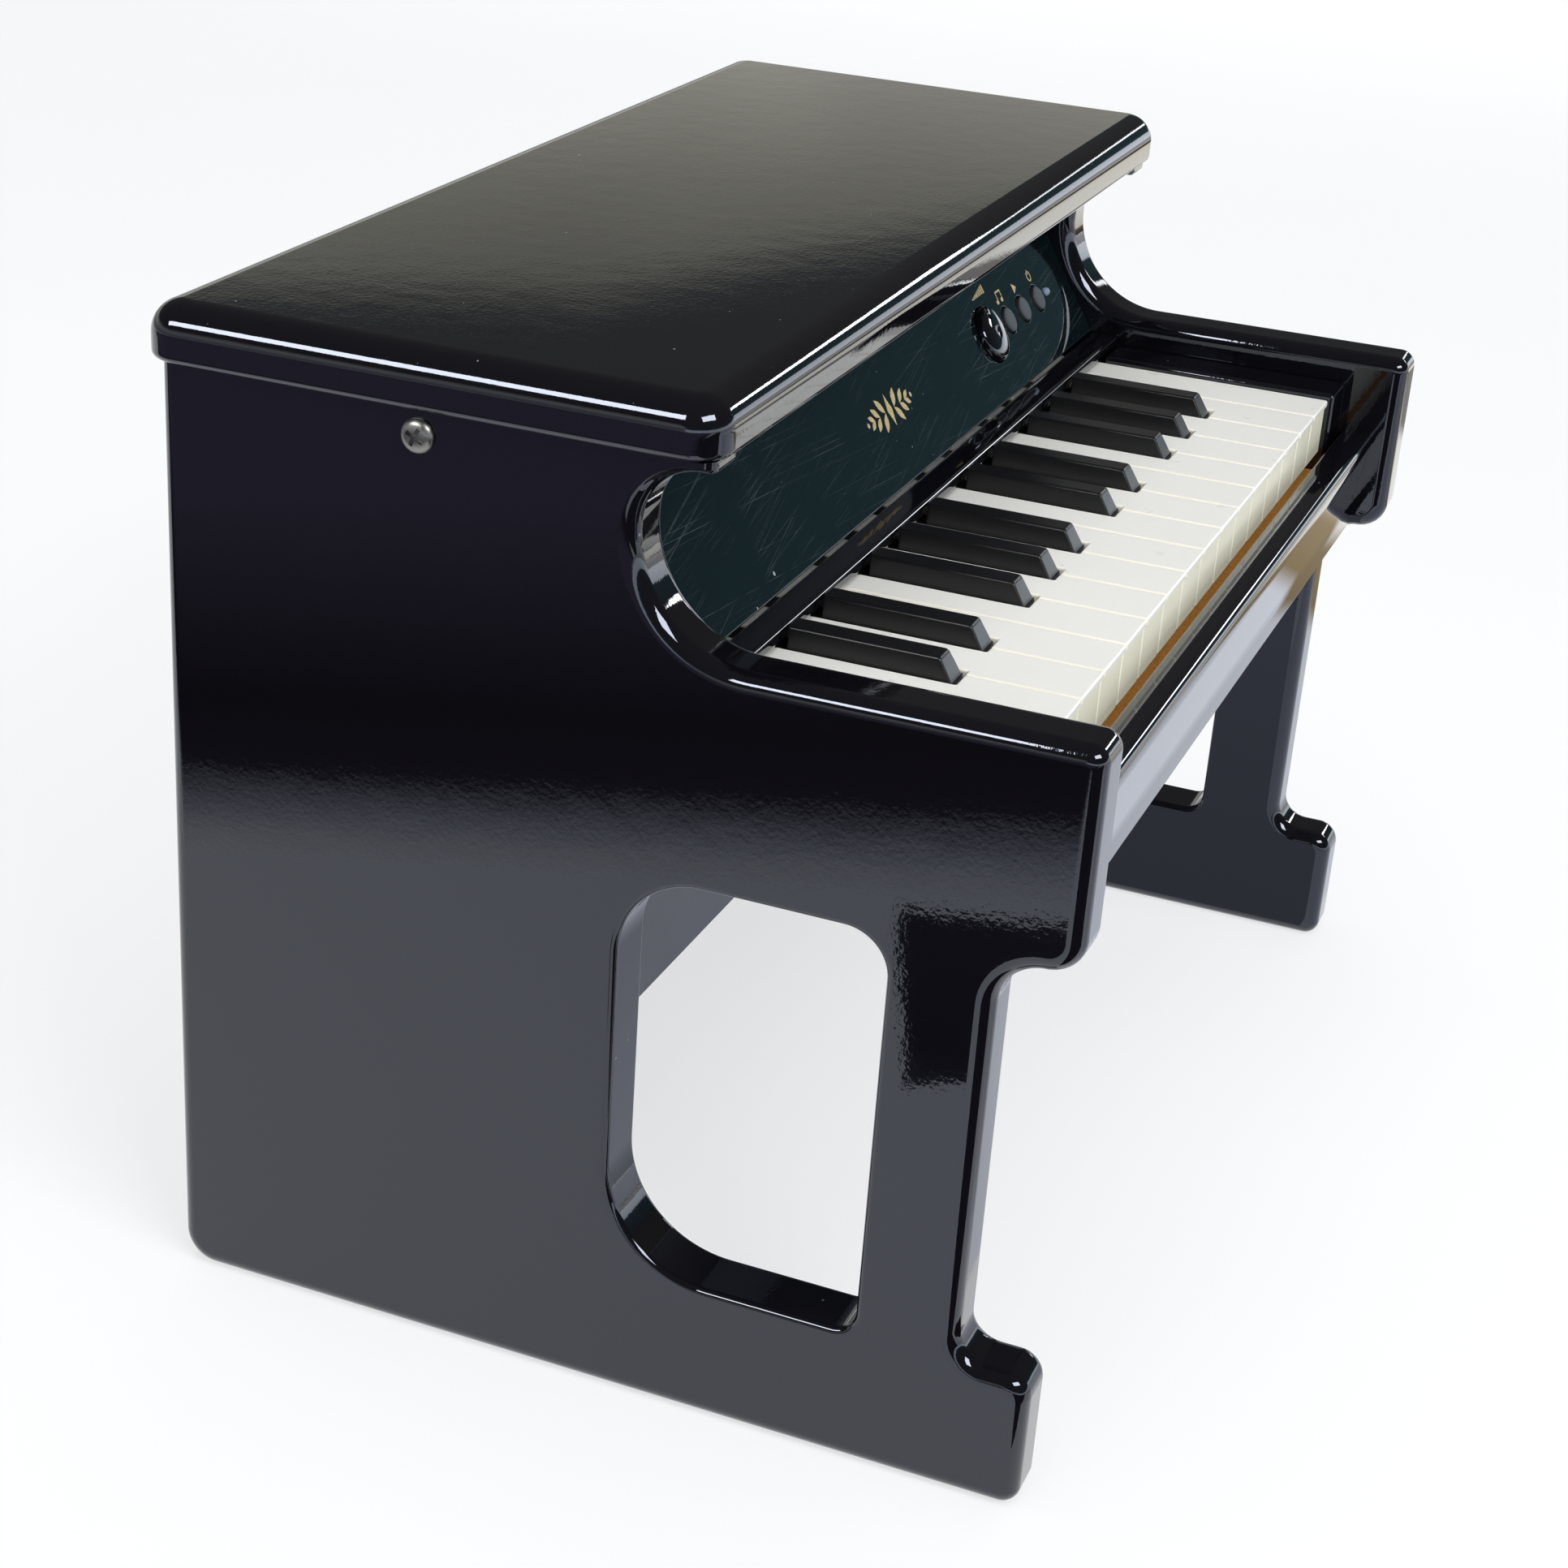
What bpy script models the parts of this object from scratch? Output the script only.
"""Miniature upright electronic toy piano in black gloss lacquer, with 25 mini keys from C to C.

Metres, +Z up, +X towards the treble, -Y towards the player. The origin is the centre of the
underside, on the floor. The two side panels carry the lid, the tilted name panel, the key bed
and the panels round the electronics; the keys turn on one rod under the name panel.
"""

import math

import bmesh
import bpy
from mathutils import Matrix, Vector

MM = 0.001
GAP = 0.3 * MM

# Case
INNER_HALF = 170.0 * MM
SIDE_THICKNESS = 18.0 * MM
SIDE_EDGE_RADIUS = 4.5 * MM
SIDE_EDGE_STEPS = 3
CUTOUT_EDGE_RADIUS = 2.8 * MM
BETWEEN_HALF = INNER_HALF - GAP
BACK_Y = 122.0 * MM
FRONT_Y = -126.5 * MM
SIDE_TOP_Z = 263.9 * MM
LID_HALF_X = 190.5 * MM
LID_FRONT_Y = -29.0 * MM
LID_BACK_Y = 126.5 * MM
LID_BOTTOM_Z = 264.2 * MM
LID_TOP_Z = 279.0 * MM
LID_TOP_RADIUS = 9.0 * MM
LID_BOTTOM_RADIUS = 1.5 * MM
SHELF_Z = 97.4 * MM
SCREW_Y = 49.4 * MM
SCREW_Z = 257.7 * MM

# Side panel outline: (y, z, corner radius, segments of the corner), anticlockwise seen from +X
SIDE_OUTLINE = (
    (122.0, 0.0, 10.0, 4),
    (122.0, 263.9, 0.6, 1),
    (-26.5, 263.9, 0.6, 1),
    (-26.5, 260.5, 1.5, 2),
    (-8.0, 260.5, 15.0, 5),
    (-8.0, 213.8, 30.0, 8),
    (-126.5, 214.3, 5.0, 3),
    (-126.5, 155.0, 9.0, 4),
    (-106.3, 155.0, 12.0, 5),
    (-106.3, 39.7, 8.0, 4),
    (-126.5, 39.7, 7.0, 3),
    (-126.5, 0.0, 5.0, 3),
)
SIDE_TOP_EDGE = 1
SIDE_LIP_EDGES = (2, 3)
SIDE_LIP_RADIUS = 2.0 * MM
# D-shaped opening under the key bed, in the same terms
CUTOUT_OUTLINE = (
    (-8.0, 39.7, 30.0, 6),
    (-8.0, 155.0, 22.0, 6),
    (-79.0, 155.0, 12.0, 4),
    (-79.0, 39.7, 6.0, 3),
)

# Name panel, tilted back from the vertical
PANEL_TILT = math.radians(32.0)
PANEL_Y = -19.0 * MM
PANEL_Z = 207.4 * MM
PANEL_THICKNESS = 5.0 * MM
KNOB_X = 86.0 * MM
KNOB_RADIUS = 9.2 * MM
KNOB_HOLE_RADIUS = 9.8 * MM
BUTTON_XS = (105.5 * MM, 121.0 * MM, 136.5 * MM)
BUTTON_RADIUS = 4.25 * MM
BUTTON_HOLE_RADIUS = 4.7 * MM
CONTROL_SLOPE = 20.4 * MM
LED_X = 146.5 * MM
LED_RADIUS = 1.5 * MM
LED_HOLE_RADIUS = 1.9 * MM

# Keyboard
WHITE_COUNT = 15
KEY_PITCH = 20.36 * MM
WHITE_GAP = 0.5 * MM
WHITE_TOP_Z = 202.2 * MM
KEY_BOTTOM_Z = 184.5 * MM
LIP_Y = -105.3 * MM
KEY_FRONT_Y = -104.6 * MM
LIP_THICKNESS = 2.0 * MM
KEY_REAR_Y = 8.0 * MM
KEY_WALL = 1.5 * MM
KEY_BOSS_Y = -6.0 * MM
SLOT_FRONT_Y = -75.0 * MM
SLOT_HALF = 5.1 * MM
BLACK_HALF = 4.4 * MM
BLACK_TOP_HALF = 3.5 * MM
BLACK_FOOT_Y = -74.0 * MM
BLACK_TOP_FRONT_Y = -69.7 * MM
BLACK_BACK_Y = -29.3 * MM
BLACK_TOP_Z = 207.7 * MM
BLACK_TAIL_Z = 201.6 * MM
PIVOT_Y = 2.0 * MM
PIVOT_Z = 190.0 * MM
ROD_RADIUS = 1.5 * MM
BORE_RADIUS = 1.85 * MM
# Distance of each black key from the joint between its white neighbours, by the white key below it
BLACK_SHIFT = {"c": -2.1 * MM, "d": 2.1 * MM, "f": -3.2 * MM, "g": 0.0, "a": 3.4 * MM}
WHITE_NOTES = "cdefgab"

# Rear-facing loudspeaker and sockets
SPEAKER_X = -70.0 * MM
SPEAKER_Z = 185.0 * MM
SPEAKER_RADIUS = 40.0 * MM
PANEL_BACK_Y = 114.0 * MM
JACK_Z = 125.0 * MM
BATTERY_X = 85.0 * MM
BATTERY_Z = 142.0 * MM

BLACK = (0.006, 0.006, 0.008)


def clear_scene():
    for obj in list(bpy.data.objects):
        bpy.data.objects.remove(obj, do_unlink=True)


def make_collection(name):
    collection = bpy.data.collections.new(name)
    bpy.context.scene.collection.children.link(collection)
    return collection


def make_material(name, colour, roughness, metallic=0.0):
    material = bpy.data.materials.new(name)
    material.use_nodes = True
    shader = material.node_tree.nodes["Principled BSDF"]
    shader.inputs["Base Color"].default_value = (*colour, 1.0)
    shader.inputs["Roughness"].default_value = roughness
    shader.inputs["Metallic"].default_value = metallic
    material.diffuse_color = (*colour, 1.0)
    return material


def mesh_object(name, bm, look=None, collection=None):
    bmesh.ops.recalc_face_normals(bm, faces=bm.faces)
    mesh = bpy.data.meshes.new(name)
    bm.to_mesh(mesh)
    bm.free()
    return place(name, mesh, look, collection)


def place(name, mesh, look=None, collection=None):
    obj = bpy.data.objects.new(name, mesh)
    (collection or PARTS).objects.link(obj)
    if look is not None and not mesh.materials:
        mesh.materials.append(make_material(name, *look))
    mesh.shade_smooth()
    mesh.set_sharp_from_angle(angle=math.radians(35.0))
    return obj


def cutter(obj):
    for collection in list(obj.users_collection):
        collection.objects.unlink(obj)
    CUTTERS.objects.link(obj)
    obj.hide_render = True
    obj.display_type = "WIRE"
    return obj


def cut(obj, tool):
    modifier = obj.modifiers.new("cut_" + tool.name, "BOOLEAN")
    modifier.operation = "DIFFERENCE"
    modifier.solver = "EXACT"
    modifier.object = tool


def join(obj, tool):
    modifier = obj.modifiers.new("join_" + tool.name, "BOOLEAN")
    modifier.operation = "UNION"
    modifier.solver = "EXACT"
    modifier.object = cutter(tool)


def round_edges(obj, width, segments=1):
    modifier = obj.modifiers.new("edges", "BEVEL")
    modifier.width = width
    modifier.segments = segments
    modifier.limit_method = "ANGLE"
    modifier.angle_limit = math.radians(50.0)


def box(name, low, high, look=None, edge=0.0, segments=1):
    """A block between two corners, given in metres."""
    low, high = Vector(low), Vector(high)
    bm = bmesh.new()
    bmesh.ops.create_cube(bm, size=1.0)
    bmesh.ops.scale(bm, vec=high - low, verts=bm.verts)
    obj = mesh_object(name, bm, look)
    obj.location = (low + high) / 2
    if edge:
        round_edges(obj, edge, segments)
    return obj


def cylinder(name, radius, length, sides, centre, rotation=None, look=None):
    """A cylinder about its own Z, turned by rotation and put at centre."""
    bm = bmesh.new()
    bmesh.ops.create_cone(
        bm, cap_ends=True, segments=sides, radius1=radius, radius2=radius, depth=length
    )
    obj = mesh_object(name, bm, look)
    turn = rotation or Matrix.Identity(3)
    obj.matrix_world = Matrix.Translation(Vector(centre)) @ turn.to_4x4()
    return obj


def turned(name, profile, sides, matrix, look=None):
    """A profile of (radius, height) pairs, from the top down its outer side, turned about Z."""
    bm = bmesh.new()
    points = [bm.verts.new((r, 0.0, h)) for r, h in profile]
    for first, second in zip(points, points[1:]):
        bm.edges.new((first, second))
    if profile[0][0] > 0.0 and profile[-1][0] > 0.0:
        bm.edges.new((points[-1], points[0]))
    mesh = bpy.data.meshes.new(name)
    bm.to_mesh(mesh)
    bm.free()
    obj = bpy.data.objects.new(name, mesh)
    PARTS.objects.link(obj)
    if look is not None:
        mesh.materials.append(make_material(name, *look))
    screw = obj.modifiers.new("turn", "SCREW")
    screw.axis = "Z"
    screw.steps = sides
    screw.render_steps = sides
    screw.use_merge_vertices = True
    screw.merge_threshold = 0.00001
    screw.use_smooth_shade = True
    obj.matrix_world = matrix
    return obj


def inset(corners, distance, kept=(), thin=(), thin_limit=0.0):
    """The outline moved inwards by distance, save for the kept edges; thin ones move thin_limit at most."""
    count = len(corners)
    lines = []
    for i in range(count):
        a = Vector(corners[i][:2])
        b = Vector(corners[(i + 1) % count][:2])
        along = (b - a).normalized()
        inward = Vector((-along.y, along.x))
        move = 0.0 if i in kept else min(distance, thin_limit) if i in thin else distance
        lines.append((a + inward * move, along))
    moved = []
    for i in range(count):
        p, d = lines[i - 1]
        q, e = lines[i]
        cross = d.x * e.y - d.y * e.x
        step = ((q - p).x * e.y - (q - p).y * e.x) / cross
        corner = p + d * step
        radius = corners[i][2] + (-distance if cross > 0 else distance)
        moved.append((corner.x, corner.y, max(radius, 0.05 * MM), corners[i][3]))
    return moved


def rounded(corners):
    """Points along an outline whose corners are arcs: (u, v, radius, segments)."""
    points = []
    count = len(corners)
    for i in range(count):
        corner = Vector(corners[i][:2])
        before = (Vector(corners[i - 1][:2]) - corner).normalized()
        after = (Vector(corners[(i + 1) % count][:2]) - corner).normalized()
        radius, segments = corners[i][2], corners[i][3]
        half = before.angle(after) / 2
        centre = corner + (before + after).normalized() * (radius / math.sin(half))
        start = corner + before * (radius / math.tan(half)) - centre
        turn = math.pi - 2 * half
        if before.x * after.y - before.y * after.x > 0:
            turn = -turn
        for k in range(segments + 1):
            angle = turn * k / segments
            c, s = math.cos(angle), math.sin(angle)
            points.append(
                (
                    centre.x + start.x * c - start.y * s,
                    centre.y + start.x * s + start.y * c,
                )
            )
    return points


def loft(name, loops, look=None):
    """A solid through loops of equal length, with its two end loops capped."""
    bm = bmesh.new()
    rings = [[bm.verts.new(point) for point in loop] for loop in loops]
    for lower, upper in zip(rings, rings[1:]):
        for i in range(len(lower)):
            j = (i + 1) % len(lower)
            bm.faces.new((lower[i], lower[j], upper[j], upper[i]))
    bm.faces.new(list(reversed(rings[0])))
    bm.faces.new(rings[-1])
    return mesh_object(name, bm, look)


def in_mm(outline):
    return [(u * MM, v * MM, r * MM, n) for u, v, r, n in outline]


def quarter(radius, steps):
    """(inset, height) along a quarter round, from the side wall up to the flat face."""
    angles = [math.pi / 2 * k / steps for k in range(steps + 1)]
    return [(radius * (1 - math.cos(a)), radius * math.sin(a)) for a in angles]


def slope_frame(x, slope, out):
    """A matrix whose +Z leaves the name panel: slope along it from its lower edge, out from its face."""
    normal = Vector((0.0, -math.cos(PANEL_TILT), math.sin(PANEL_TILT)))
    up = Vector((0.0, math.sin(PANEL_TILT), math.cos(PANEL_TILT)))
    right = Vector((1.0, 0.0, 0.0))
    origin = Vector((x, PANEL_Y, PANEL_Z)) + up * slope + normal * out
    turn = Matrix((right, up, normal)).transposed()
    return Matrix.Translation(origin) @ turn.to_4x4()


# Case -------------------------------------------------------------------------------------------


def make_lid():
    corners = [
        (-LID_HALF_X, LID_FRONT_Y, 10.0 * MM, 4),
        (LID_HALF_X, LID_FRONT_Y, 10.0 * MM, 4),
        (LID_HALF_X, LID_BACK_Y, 10.0 * MM, 4),
        (-LID_HALF_X, LID_BACK_Y, 10.0 * MM, 4),
    ]
    levels = [(d, LID_BOTTOM_Z + LID_BOTTOM_RADIUS - h) for d, h in quarter(LID_BOTTOM_RADIUS, 2)][::-1]
    levels += [(d, LID_TOP_Z - LID_TOP_RADIUS + h) for d, h in quarter(LID_TOP_RADIUS, 4)]
    loops = [[(x, y, z) for x, y in rounded(inset(corners, d))] for d, z in levels]
    loft("lid", loops, (BLACK, 0.06))


def side_hole(side):
    """The D-shaped opening, wider where its rounded rim meets the faces."""
    inner, outer = INNER_HALF, INNER_HALF + SIDE_THICKNESS
    wall = quarter(CUTOUT_EDGE_RADIUS, SIDE_EDGE_STEPS)
    stations = [(inner - 2 * MM, -CUTOUT_EDGE_RADIUS)]
    stations += [(inner + CUTOUT_EDGE_RADIUS - h, -d) for d, h in reversed(wall)]
    stations += [(outer - CUTOUT_EDGE_RADIUS + h, -d) for d, h in wall]
    stations.append((outer + 2 * MM, -CUTOUT_EDGE_RADIUS))
    outline = in_mm(CUTOUT_OUTLINE)
    loops = [[(side * x, y, z) for y, z in rounded(inset(outline, d))] for x, d in stations]
    return cutter(loft(f"cutout_{'right' if side > 0 else 'left'}", loops))


def make_side_panel(side):
    name = "side_panel_right" if side > 0 else "side_panel_left"
    inner, outer = INNER_HALF, INNER_HALF + SIDE_THICKNESS
    wall = quarter(SIDE_EDGE_RADIUS, SIDE_EDGE_STEPS)
    stations = [(inner + SIDE_EDGE_RADIUS - h, d) for d, h in reversed(wall)]
    stations += [(outer - SIDE_EDGE_RADIUS + h, d) for d, h in wall]
    outline = in_mm(SIDE_OUTLINE)
    loops = []
    for x, d in stations:
        shape = inset(outline, d, (SIDE_TOP_EDGE,), SIDE_LIP_EDGES, SIDE_LIP_RADIUS)
        loops.append([(side * x, y, z) for y, z in rounded(shape)])
    panel = loft(name, loops, (BLACK, 0.05))
    cut(panel, side_hole(side))
    across = Matrix.Rotation(math.radians(90.0), 3, "Y")
    middle = side * (INNER_HALF + SIDE_THICKNESS / 2)
    hole = cylinder(f"screw_hole_{name}", 2.1 * MM, 30 * MM, 12, (middle, SCREW_Y, SCREW_Z), across)
    cut(panel, cutter(hole))


def make_side_screw(side):
    """A pan-head cross-slot screw whose head lies on the panel's outer face."""
    name = "side_screw_right" if side > 0 else "side_screw_left"
    head, shank, length = 3.8 * MM, 1.75 * MM, 16.0 * MM
    profile = [(0.0, 2.1 * MM), (1.6 * MM, 2.0 * MM), (2.9 * MM, 1.6 * MM), (3.6 * MM, 0.9 * MM)]
    profile += [(head, 0.25 * MM), (head, 0.0), (shank, 0.0), (shank, -length), (0.0, -length)]
    turn = Matrix.Rotation(math.radians(90.0 * side), 4, "Y")
    face = side * (INNER_HALF + SIDE_THICKNESS + GAP)
    matrix = Matrix.Translation((face, SCREW_Y, SCREW_Z)) @ turn
    screw = turned(name, profile, 16, matrix, ((0.75, 0.74, 0.70), 0.25, 1.0))
    for k, angle in enumerate((20.0, 110.0)):
        slot = box(f"slot_{name}_{k}", (-2.0 * MM, -0.45 * MM, 0.9 * MM), (2.0 * MM, 0.45 * MM, 3 * MM))
        slot.matrix_world = matrix @ Matrix.Rotation(math.radians(angle), 4, "Z") @ Matrix.Translation(
            (0.0, 0.0, 1.95 * MM)
        )
        cut(screw, cutter(slot))


def make_panels():
    half = BETWEEN_HALF
    box("knee_panel", (-half, 2 * MM, SHELF_Z), (half, 7 * MM, 154.9 * MM), ((0.02, 0.02, 0.022), 0.3))
    box(
        "bottom_board",
        (-half, 7.3 * MM, SHELF_Z),
        (half, PANEL_BACK_Y - GAP, 105.4 * MM),
        ((0.05, 0.045, 0.04), 0.7),
    )
    box(
        "key_bed",
        (-half, -108.2 * MM, 155.3 * MM),
        (half, 12 * MM, 167 * MM),
        ((0.02, 0.02, 0.022), 0.4),
    )


def make_back_panel():
    panel = box(
        "back_panel",
        (-BETWEEN_HALF, PANEL_BACK_Y, SHELF_Z),
        (BETWEEN_HALF, PANEL_BACK_Y + 5 * MM, SIDE_TOP_Z),
        ((0.012, 0.012, 0.013), 0.45),
    )
    facing_back = Matrix.Rotation(math.radians(-90.0), 3, "X")
    tools = [
        cylinder("grille_hole", 33.3 * MM, 20 * MM, 32, (SPEAKER_X, 116 * MM, SPEAKER_Z), facing_back),
        box(
            "battery_hole",
            (BATTERY_X - 50 * MM, 105 * MM, BATTERY_Z - 25 * MM),
            (BATTERY_X + 50 * MM, 125 * MM, BATTERY_Z + 25 * MM),
        ),
    ]
    for x, radius in ((-140 * MM, 4.3 * MM), (-112 * MM, 5.3 * MM)):
        tools.append(cylinder(f"jack_hole_{len(tools)}", radius, 20 * MM, 16, (x, 116 * MM, JACK_Z), facing_back))
    for tool in tools:
        cut(panel, cutter(tool))


def make_key_slip():
    """The front rail below the keys: a profile run between the side panels."""
    profile = [(-115.0, 155.0), (-115.0, 162.0), (-115.8, 172.0), (-117.2, 180.0)]
    for k in range(6):
        angle = math.radians(190.0 - 20.0 * k)
        profile.append((-114.3 + 4.0 * math.cos(angle), 184.4 + 4.0 * math.sin(angle)))
    profile += [(-109.5, 188.4), (-108.8, 188.1), (-108.5, 187.4), (-108.5, 155.0)]
    loops = [[(x, y * MM, z * MM) for y, z in profile] for x in (-BETWEEN_HALF, BETWEEN_HALF)]
    loft("key_slip", loops, (BLACK, 0.05))


def make_end_block(side):
    name = "end_block_right" if side > 0 else "end_block_left"
    ends = sorted((side * 152.9 * MM, side * BETWEEN_HALF))
    box(
        name,
        (ends[0], -107 * MM, 170.3 * MM),
        (ends[1], -28.8 * MM, 204 * MM),
        (BLACK, 0.08),
        edge=1.0 * MM,
        segments=2,
    )


def make_name_panel():
    bottom, top = (PANEL_Y, PANEL_Z), SIDE_TOP_Z
    rise = math.tan(PANEL_TILT)
    back = PANEL_THICKNESS / math.cos(PANEL_TILT)
    low_y = PANEL_Y + PANEL_THICKNESS * math.cos(PANEL_TILT)
    low_z = PANEL_Z - PANEL_THICKNESS * math.sin(PANEL_TILT)
    front_top_y = PANEL_Y + (top - PANEL_Z) * rise
    profile = [bottom, (low_y, low_z), (front_top_y + back, top), (front_top_y, top)]
    loops = [[(x, y, z) for y, z in profile] for x in (-BETWEEN_HALF, BETWEEN_HALF)]
    panel = loft("name_panel", loops, ((0.008, 0.012, 0.014), 0.05))
    holes = [(KNOB_X, KNOB_HOLE_RADIUS, 32), (LED_X, LED_HOLE_RADIUS, 12)]
    holes += [(x, BUTTON_HOLE_RADIUS, 20) for x in BUTTON_XS]
    for k, (x, radius, sides) in enumerate(holes):
        tool = cylinder(f"control_hole_{k}", radius, 20 * MM, sides, (0.0, 0.0, 0.0))
        tool.matrix_world = slope_frame(x, CONTROL_SLOPE, 0.0)
        cut(panel, cutter(tool))


def make_key_strip():
    box(
        "key_strip",
        (-BETWEEN_HALF, -28.5 * MM, 203.2 * MM),
        (BETWEEN_HALF, -19.3 * MM, PANEL_Z),
        (BLACK, 0.06),
        edge=0.5 * MM,
    )


# Keyboard ---------------------------------------------------------------------------------------


def boundary_x(k):
    """The joint between white keys k and k + 1, counted from the bass."""
    return (k + 1 - WHITE_COUNT / 2) * KEY_PITCH


def white_outline(note, lowest, highest):
    """Plan of a white key about its own centre, anticlockwise from the front left corner."""
    half = KEY_PITCH / 2 - WHITE_GAP / 2
    left = WHITE_NOTES[WHITE_NOTES.index(note) - 1] if not lowest else None
    shift_left = BLACK_SHIFT.get(left) if left else None
    shift_right = BLACK_SHIFT.get(note) if not highest else None
    points = [(-half, KEY_FRONT_Y), (half, KEY_FRONT_Y)]
    if shift_right is not None:
        waist = KEY_PITCH / 2 + shift_right - SLOT_HALF
        points += [(half, SLOT_FRONT_Y), (waist, SLOT_FRONT_Y), (waist, KEY_REAR_Y)]
    else:
        points.append((half, KEY_REAR_Y))
    if shift_left is not None:
        waist = -KEY_PITCH / 2 + shift_left + SLOT_HALF
        points += [(waist, KEY_REAR_Y), (waist, SLOT_FRONT_Y), (-half, SLOT_FRONT_Y)]
    else:
        points.append((-half, KEY_REAR_Y))
    return [(x, y, 0.0, 1) for x, y in points]


def plan(corners):
    return [(x, y) for x, y, _, _ in corners]


def key_about_pivot(loops):
    return [[(x, y - PIVOT_Y, z - PIVOT_Z) for x, y, z in loop] for loop in loops]


def white_mesh(note, lowest, highest):
    """A key hollow from below, with an overhanging front lip and a solid rear boss."""
    outer = white_outline(note, lowest, highest)
    hollow = [
        (x, min(y, KEY_BOSS_Y), r, n) for x, y, r, n in inset(outer, KEY_WALL)
    ]
    lip = [(x, LIP_Y if abs(y - KEY_FRONT_Y) < 1e-6 else y, r, n) for x, y, r, n in outer]
    top = inset(lip, 0.5 * MM)
    levels = [
        (hollow, WHITE_TOP_Z - KEY_WALL),
        (hollow, KEY_BOTTOM_Z),
        (outer, KEY_BOTTOM_Z),
        (outer, WHITE_TOP_Z - LIP_THICKNESS),
        (lip, WHITE_TOP_Z - LIP_THICKNESS + 0.2 * MM),
        (lip, WHITE_TOP_Z - 0.5 * MM),
        (top, WHITE_TOP_Z),
    ]
    loops = [[(x, y, z) for x, y in plan(shape)] for shape, z in levels]
    master = loft("white_" + note, key_about_pivot(loops))
    return bored(master)


def bored(master):
    """The key's mesh with the rod's bore through its boss."""
    turn = Matrix.Rotation(math.radians(90.0), 3, "Y")
    tool = cutter(cylinder("bore", BORE_RADIUS, 40 * MM, 16, (0.0, 0.0, 0.0), turn))
    cut(master, tool)
    bpy.context.view_layer.update()
    graph = bpy.context.evaluated_depsgraph_get()
    mesh = bpy.data.meshes.new_from_object(master.evaluated_get(graph))
    bpy.data.objects.remove(master, do_unlink=True)
    bpy.data.objects.remove(tool, do_unlink=True)
    return mesh


def rectangle(half, front, rear):
    return [(-half, front), (half, front), (half, rear), (-half, rear)]


def black_mesh():
    """A hollow tail with a raised, tapered cap in front of the name panel."""
    wall = 1.4 * MM
    hollow = rectangle(BLACK_HALF - wall, BLACK_FOOT_Y + wall, KEY_BOSS_Y)
    tail = rectangle(BLACK_HALF, BLACK_FOOT_Y, KEY_REAR_Y)
    foot = rectangle(BLACK_HALF - 0.1 * MM, BLACK_FOOT_Y + 0.1 * MM, BLACK_BACK_Y)
    shoulder = rectangle(BLACK_TOP_HALF + 0.2 * MM, BLACK_TOP_FRONT_Y - 0.6 * MM, BLACK_BACK_Y)
    crown = rectangle(BLACK_TOP_HALF - 0.3 * MM, BLACK_TOP_FRONT_Y, BLACK_BACK_Y)
    levels = [
        (hollow, BLACK_TAIL_Z - 2 * MM),
        (hollow, KEY_BOTTOM_Z),
        (tail, KEY_BOTTOM_Z),
        (tail, BLACK_TAIL_Z),
        (foot, BLACK_TAIL_Z + 0.05 * MM),
        (shoulder, BLACK_TOP_Z - 0.6 * MM),
        (crown, BLACK_TOP_Z),
    ]
    loops = [[(x, y, z) for x, y in shape] for shape, z in levels]
    return bored(loft("black", key_about_pivot(loops)))


def make_keys():
    """All 25 keys from the bass: each origin lies on the rod's axis."""
    ivory = ((0.86, 0.85, 0.80), 0.12)
    ebony = (BLACK, 0.25)
    black = black_mesh()
    shapes = {}
    number = 0
    for k in range(WHITE_COUNT):
        note = WHITE_NOTES[k % 7]
        highest = k == WHITE_COUNT - 1
        variant = (note, k == 0, highest)
        if variant not in shapes:
            shapes[variant] = white_mesh(*variant)
        number += 1
        key = place(f"key_{number:02d}_{note}", shapes[variant], ivory)
        key.location = (boundary_x(k) - KEY_PITCH / 2, PIVOT_Y, PIVOT_Z)
        if note in BLACK_SHIFT and not highest:
            number += 1
            key = place(f"key_{number:02d}_{note}s", black, ebony)
            key.location = (boundary_x(k) + BLACK_SHIFT[note], PIVOT_Y, PIVOT_Z)


def make_key_rod():
    turn = Matrix.Rotation(math.radians(90.0), 3, "Y")
    steel = ((0.6, 0.6, 0.62), 0.3, 1.0)
    cylinder("pivot_rod", ROD_RADIUS, 312 * MM, 16, (0.0, PIVOT_Y, PIVOT_Z), turn, steel)


def make_chassis():
    """The plate that carries the rod, with a front rail and two end cheeks."""
    chassis = box(
        "key_chassis",
        (-157 * MM, -104.5 * MM, 167.3 * MM),
        (157 * MM, 11 * MM, 170 * MM),
        ((0.03, 0.03, 0.03), 0.5),
    )
    join(chassis, box("rail", (-152 * MM, -104 * MM, 168 * MM), (152 * MM, -95 * MM, 175 * MM)))
    turn = Matrix.Rotation(math.radians(90.0), 3, "Y")
    for side in (-1, 1):
        ends = sorted((side * 153.5 * MM, side * 156.5 * MM))
        cheek = box(f"cheek_{side}", (ends[0], -6 * MM, 168 * MM), (ends[1], 10 * MM, 196 * MM))
        join(chassis, cheek)
    cut(chassis, cutter(cylinder("rod_hole", BORE_RADIUS, 330 * MM, 16, (0.0, PIVOT_Y, PIVOT_Z), turn)))
    felt = ((0.30, 0.16, 0.05), 0.9)
    box("front_stop_felt", (-152 * MM, -104 * MM, 175.3 * MM), (152 * MM, -95 * MM, 178.3 * MM), felt)
    box(
        "contact_board",
        (-150 * MM, -68 * MM, 170.3 * MM),
        (150 * MM, -28 * MM, 171.9 * MM),
        ((0.35, 0.25, 0.10), 0.5),
    )
    box(
        "rubber_contact_strip",
        (-149 * MM, -58 * MM, 172.2 * MM),
        (149 * MM, -43 * MM, 180.7 * MM),
        ((0.5, 0.5, 0.5), 0.7),
        edge=1.5 * MM,
    )


# Controls ---------------------------------------------------------------------------------------


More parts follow.
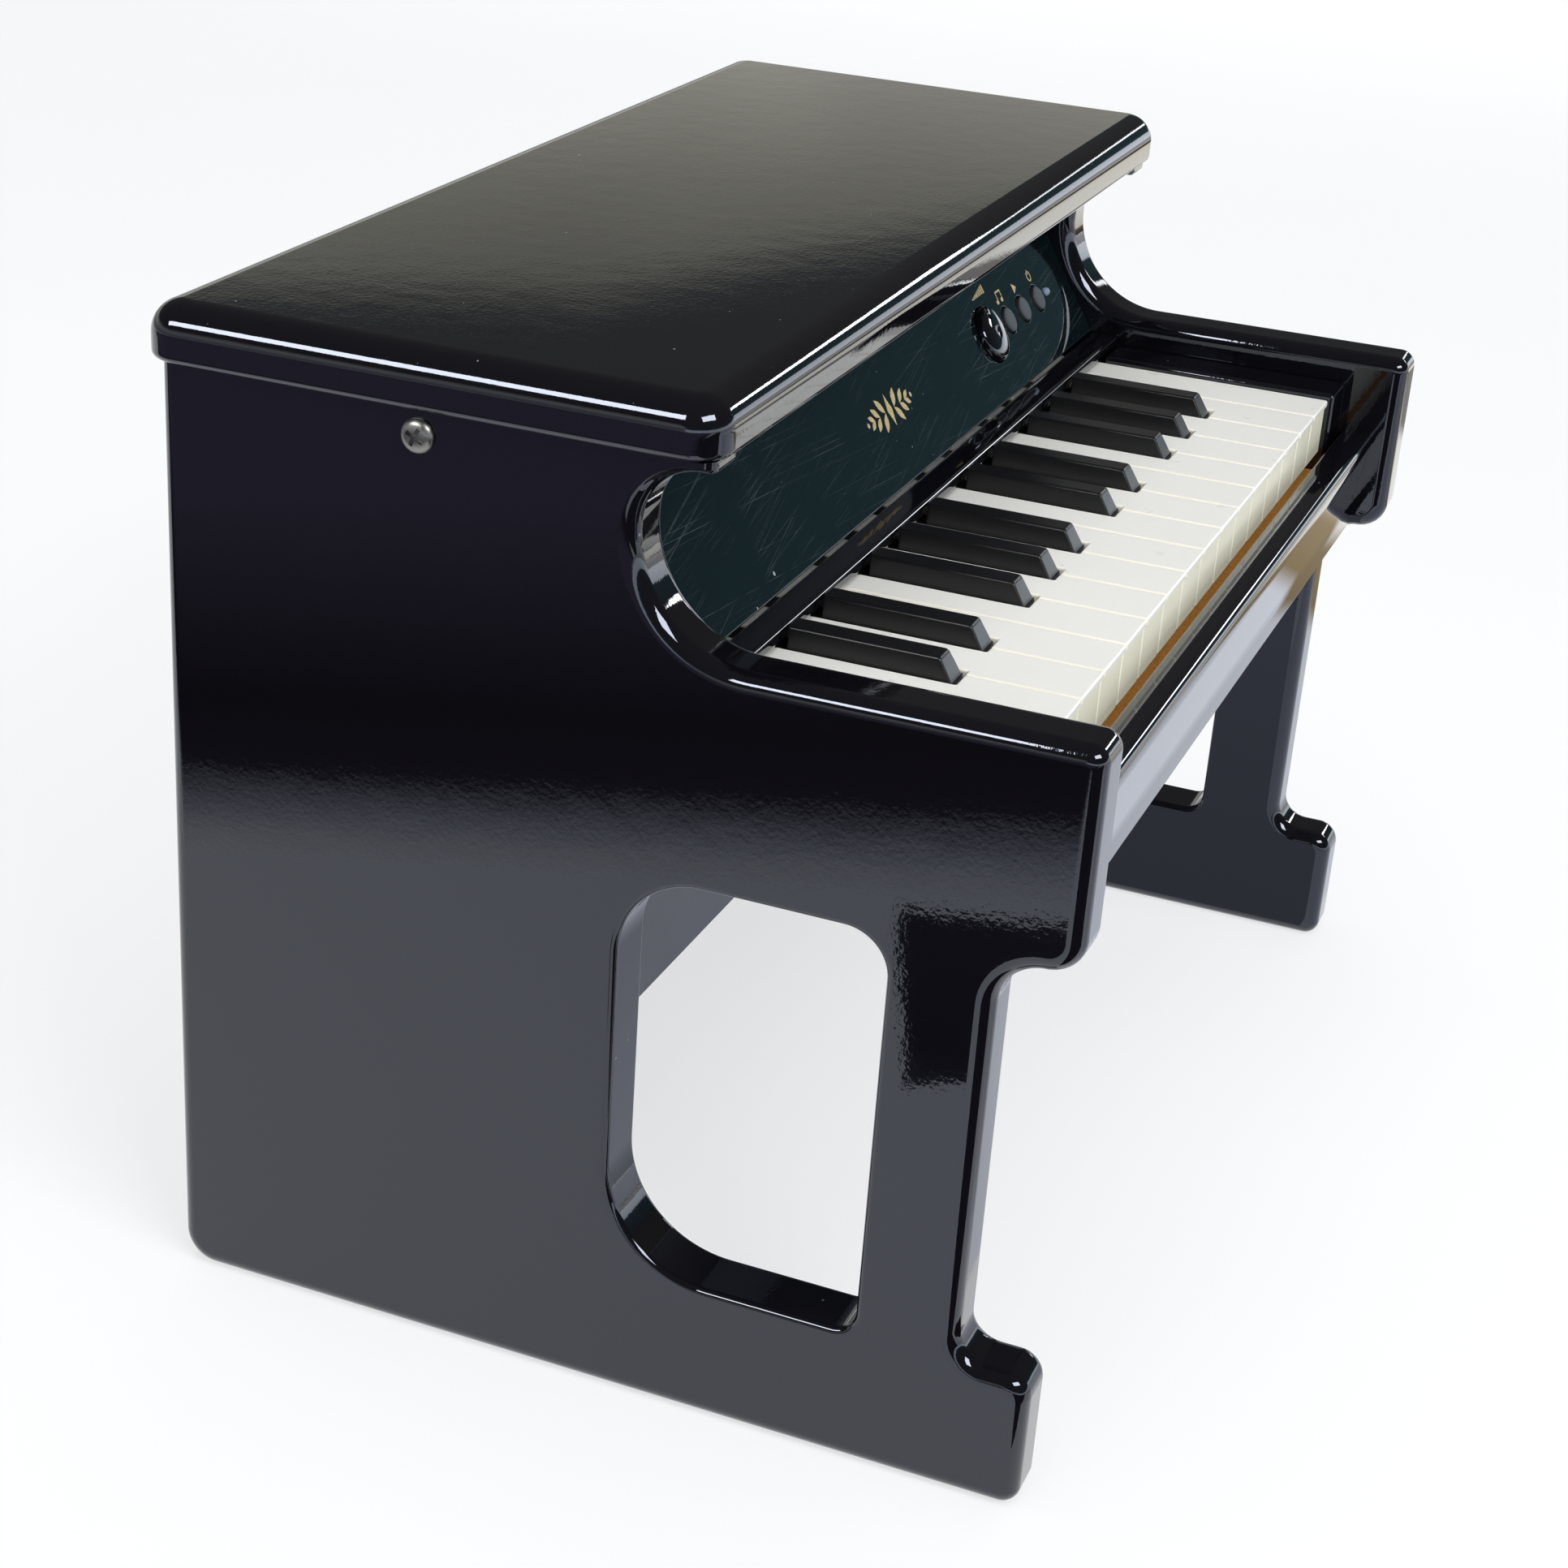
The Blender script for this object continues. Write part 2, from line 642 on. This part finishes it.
def make_knob():
    """The volume knob: a low dome that sinks into the panel, hollow for the shaft."""
    rim, bore = KNOB_RADIUS, 3.3 * MM
    dome = [(0.0, 3.3 * MM), (3.0 * MM, 3.2 * MM), (6.0 * MM, 2.9 * MM), (8.1 * MM, 2.2 * MM)]
    skirt = [(rim, 1.0 * MM), (rim, -4.5 * MM), (bore, -4.5 * MM), (bore, 1.4 * MM), (0.0, 1.4 * MM)]
    turned("volume_knob", dome + skirt, 28, slope_frame(KNOB_X, CONTROL_SLOPE, 0.0), (BLACK, 0.08))
    body, shaft = 8.0 * MM, 3.0 * MM
    low, shoulder = -16.7 * MM, -9.0 * MM
    profile = [(0.0, 1.1 * MM), (shaft, 1.1 * MM), (shaft, shoulder), (body, shoulder), (body, low), (0.0, low)]
    turned("volume_pot", profile, 20, slope_frame(KNOB_X, CONTROL_SLOPE, 0.0), ((0.5, 0.5, 0.48), 0.35, 1.0))


def make_buttons():
    r, flange = BUTTON_RADIUS, 5.4 * MM
    profile = [(0.0, 1.1 * MM), (2.6 * MM, 1.0 * MM), (3.7 * MM, 0.7 * MM), (r, 0.1 * MM), (r, -5.6 * MM)]
    profile += [(flange, -5.6 * MM), (flange, -6.6 * MM), (2 * MM, -6.6 * MM), (2 * MM, -8.2 * MM), (0.0, -8.2 * MM)]
    for k, x in enumerate(BUTTON_XS):
        matrix = slope_frame(x, CONTROL_SLOPE, 0.0)
        turned(f"push_button_{k + 1}", profile, 20, matrix, ((0.03, 0.033, 0.036), 0.35))


def make_led():
    r, flange, low = LED_RADIUS, 2.4 * MM, -16.7 * MM
    profile = [(0.0, 1.2 * MM), (0.8 * MM, 0.95 * MM), (1.3 * MM, 0.4 * MM), (r, -0.3 * MM), (r, -7 * MM)]
    profile += [(flange, -7 * MM), (flange, -8 * MM), (1.2 * MM, -8 * MM), (1.2 * MM, low), (0.0, low)]
    turned("power_led", profile, 12, slope_frame(LED_X, CONTROL_SLOPE, 0.0), ((0.6, 0.8, 1.0), 0.1))


def make_control_board():
    """A board parallel to the name panel, with one switch behind each button."""
    board = slope_box("control_board", 68, 158, 10, 31, -18.6, -17.0, ((0.02, 0.12, 0.05), 0.4))
    slope = CONTROL_SLOPE / MM
    for k, x in enumerate(BUTTON_XS):
        x /= MM
        join(board, slope_box(f"switch_{k}", x - 3, x + 3, slope - 3, slope + 3, -18.0, -9.5))


def slope_box(name, x0, x1, s0, s1, n0, n1, look=None):
    """A block in the name panel's own directions, in millimetres."""
    obj = box(name, (0.0, 0.0, 0.0), ((x1 - x0) * MM, (s1 - s0) * MM, (n1 - n0) * MM), look)
    obj.matrix_world = slope_frame((x0 + x1) / 2 * MM, (s0 + s1) / 2 * MM, (n0 + n1) / 2 * MM)
    return obj


# Electronics in the case --------------------------------------------------------------------------


def facing_back(x, z):
    """A matrix whose +Z leaves the rear of the case, at the inner face of the back panel."""
    turn = Matrix.Rotation(math.radians(-90.0), 4, "X")
    return Matrix.Translation((x, PANEL_BACK_Y - GAP, z)) @ turn


def make_speaker():
    """The loudspeaker: basket, cone and magnet, one behind the other, with a grille outside."""
    at = facing_back(SPEAKER_X, SPEAKER_Z)
    basket = [(SPEAKER_RADIUS, 0.0), (SPEAKER_RADIUS, -2 * MM), (33 * MM, -2.5 * MM), (20 * MM, -18 * MM)]
    basket += [(12 * MM, -18 * MM), (12 * MM, -16 * MM), (19 * MM, -16 * MM), (31.5 * MM, -1.0 * MM), (33.6 * MM, 0.0)]
    turned("speaker_frame", basket, 32, at, ((0.25, 0.25, 0.26), 0.4, 1.0))
    cone = [(0.0, -9 * MM), (6 * MM, -10.5 * MM), (8 * MM, -13 * MM), (27 * MM, -0.6 * MM), (30 * MM, -0.6 * MM)]
    cone += [(30 * MM, -2 * MM), (9 * MM, -15.4 * MM), (0.0, -15.4 * MM)]
    turned("speaker_cone", cone, 28, at, ((0.03, 0.03, 0.03), 0.8))
    magnet = [(0.0, -18.3 * MM), (19 * MM, -18.3 * MM), (20 * MM, -19.3 * MM), (20 * MM, -28 * MM), (0.0, -28 * MM)]
    turned("speaker_magnet", magnet, 24, at, ((0.1, 0.1, 0.1), 0.5, 1.0))
    disc = [(0.0, 6.4 * MM), (30 * MM, 6.2 * MM), (33 * MM, 5.4 * MM), (33 * MM, 2.0 * MM), (31 * MM, 2.0 * MM)]
    disc += [(30 * MM, 4.6 * MM), (0.0, 4.8 * MM)]
    grille = turned("speaker_grille", disc, 28, at, ((0.02, 0.02, 0.02), 0.5))
    for k in range(-2, 3):
        reach = (24, 20, 12)[abs(k)] * MM
        slot = box(f"slot_{k}", (-reach, -1.2 * MM, -1 * MM), (reach, 1.2 * MM, 10 * MM))
        slot.matrix_world = at @ Matrix.Translation((0.0, k * 9 * MM, 4.5 * MM))
        cut(grille, cutter(slot))


def make_battery():
    """An open box behind the back panel and its door, which lies flush in the opening."""
    x, z, y = BATTERY_X, BATTERY_Z, PANEL_BACK_Y
    holder = box(
        "battery_box",
        (x - 53 * MM, y - 32 * MM, z - 28 * MM),
        (x + 53 * MM, y - GAP, z + 28 * MM),
        ((0.02, 0.02, 0.02), 0.6),
    )
    hollow = box(
        "battery_space",
        (x - 49.5 * MM, y - 30 * MM, z - 24.5 * MM),
        (x + 49.5 * MM, y + 10 * MM, z + 24.5 * MM),
    )
    cut(holder, cutter(hollow))
    door = box(
        "battery_door",
        (x - 49.6 * MM, y + 1.5 * MM, z - 24.6 * MM),
        (x + 49.6 * MM, y + 4.7 * MM, z + 24.6 * MM),
        ((0.012, 0.012, 0.013), 0.5),
        edge=0.6 * MM,
    )
    grip = box("grip", (x - 8 * MM, y + 3.7 * MM, z + 17 * MM), (x + 8 * MM, y + 9 * MM, z + 21 * MM))
    cut(door, cutter(grip))


def make_jacks():
    nickel = ((0.5, 0.5, 0.5), 0.3, 1.0)
    for name, x, barrel, hole in (
        ("headphone_jack", -140, 3.9, 1.8),
        ("dc_jack", -112, 4.9, 3.2),
    ):
        at = facing_back(x * MM, JACK_Z)
        profile = [(0.0, 5.4), (barrel, 5.4), (barrel, 0.0), (7.0, 0.0), (7.0, -12.0), (0.0, -12.0)]
        body = turned(name, [(r * MM, h * MM) for r, h in profile], 20, at, nickel)
        bore = cylinder(f"bore_{name}", hole * MM, 14 * MM, 12, (0.0, 0.0, 0.0))
        bore.matrix_world = at
        cut(body, cutter(bore))


def make_main_board():
    """The sound board on four feet above the bottom board, with its larger parts."""
    board = box("main_board", (-60 * MM, 22 * MM, 110 * MM), (20 * MM, 92 * MM, 111.6 * MM), ((0.02, 0.12, 0.05), 0.4))
    for k, (x, y) in enumerate(((-56, 26), (16, 26), (16, 88), (-56, 88))):
        foot = cylinder(f"foot_{k}", 3 * MM, 5.2 * MM, 10, (x * MM, y * MM, 108.3 * MM))
        join(board, foot)
    join(board, box("chip", (-34 * MM, 44 * MM, 111 * MM), (-14 * MM, 64 * MM, 114 * MM)))
    for k, y in enumerate((38, 52, 66)):
        join(board, cylinder(f"capacitor_{k}", 4 * MM, 13 * MM, 12, (4 * MM, y * MM, 117 * MM)))


clear_scene()
PARTS = make_collection("toy_piano")
CUTTERS = make_collection("cutters")
make_lid()
for each_side in (-1, 1):
    make_side_panel(each_side)
    make_side_screw(each_side)
    make_end_block(each_side)
make_panels()
make_back_panel()
make_name_panel()
make_key_strip()
make_key_slip()
make_keys()
make_key_rod()
make_chassis()
make_knob()
make_buttons()
make_led()
make_control_board()
make_speaker()
make_battery()
make_jacks()
make_main_board()
